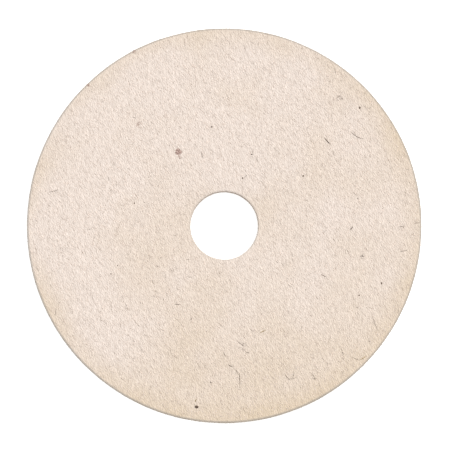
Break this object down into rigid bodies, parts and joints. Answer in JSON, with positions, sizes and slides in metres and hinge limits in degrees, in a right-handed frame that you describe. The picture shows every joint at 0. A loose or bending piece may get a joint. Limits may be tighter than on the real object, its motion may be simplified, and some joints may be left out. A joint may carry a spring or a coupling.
{
  "type": "felt polishing wheel",
  "caption": "Flat round polishing wheel of natural hard pressed wool felt with a plain centre bore, for a lapidary arbor.",
  "frame": {"origin": "centre of the bore, on the back face that the wheel rests on", "axes": "+Z along the spin axis, out of the front face; +X to the right and +Y up when the front face is looked at"},
  "size_m": [0.15, 0.15, 0.0095],
  "materials": {
    "wool_felt": "matte"
  },
  "bodies": {
    "root": {"felt_disc": "wool_felt"}
  },
  "joints": []
}
